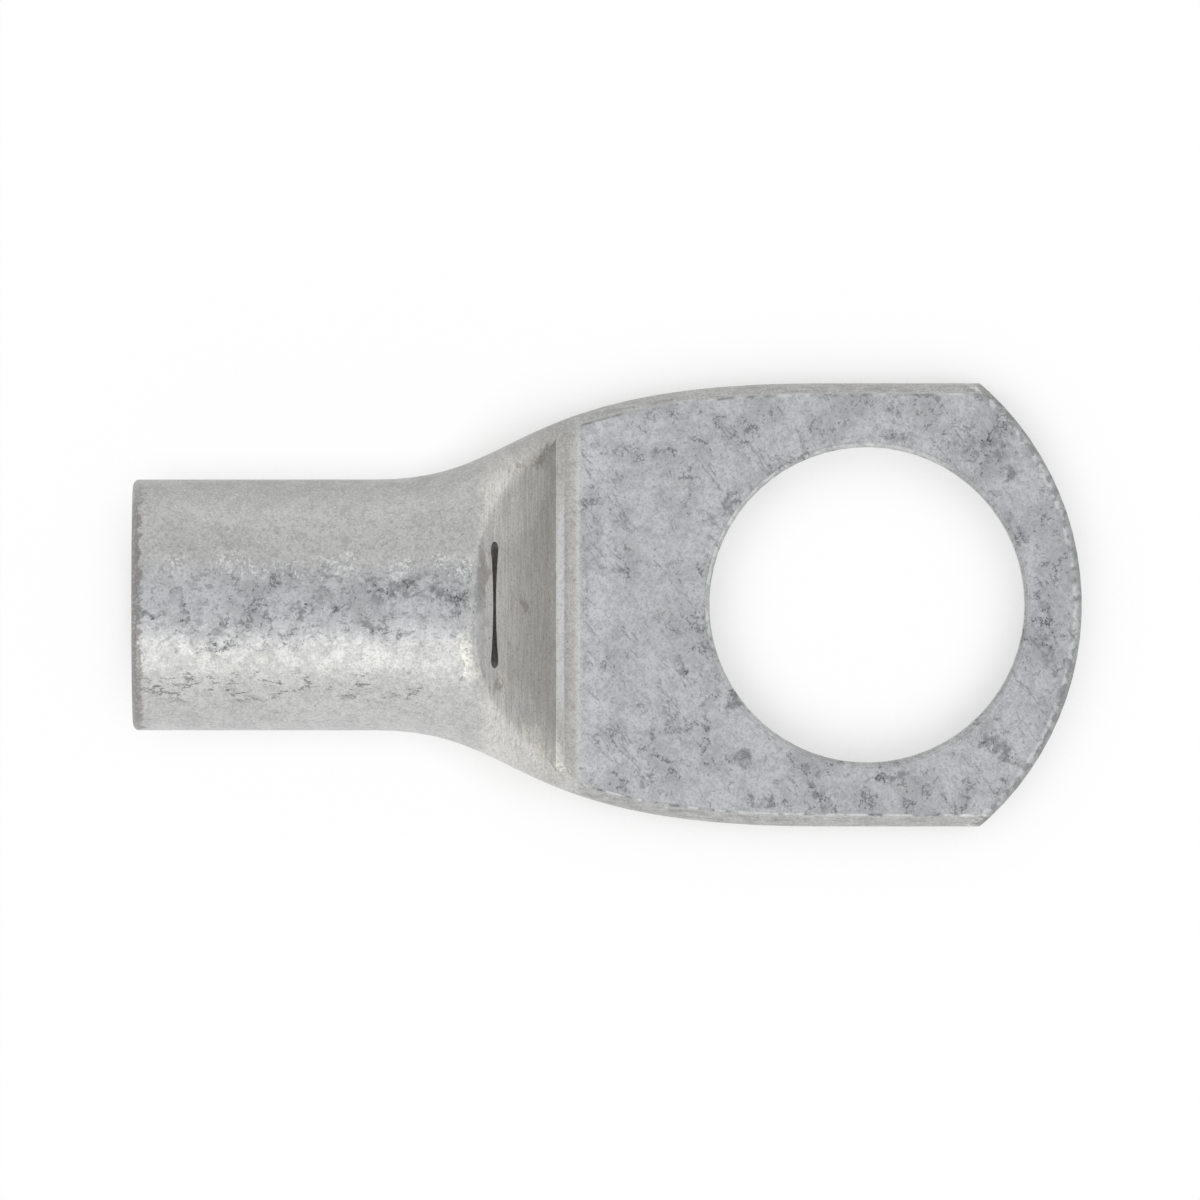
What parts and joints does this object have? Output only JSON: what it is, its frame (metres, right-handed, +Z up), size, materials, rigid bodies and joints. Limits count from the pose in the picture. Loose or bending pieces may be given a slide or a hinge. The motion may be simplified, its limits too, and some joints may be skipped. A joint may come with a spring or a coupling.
{
  "type": "ring terminal",
  "caption": "Tinned copper tube ring terminal with a crimp barrel for 10 mm2 cable, a peep slit, and a pressed palm with an M8 stud hole.",
  "frame": {"origin": "centre of the stud hole on the palm's underside", "axes": "+X from the barrel to the palm's round tip, +Y across the palm, +Z up out of the palm's top face"},
  "size_m": [0.0252, 0.0118, 0.0067],
  "materials": {
    "tin_plate": "matt tin plating on copper"
  },
  "bodies": {
    "root": {"ring_terminal": "tin_plate"}
  },
  "joints": []
}
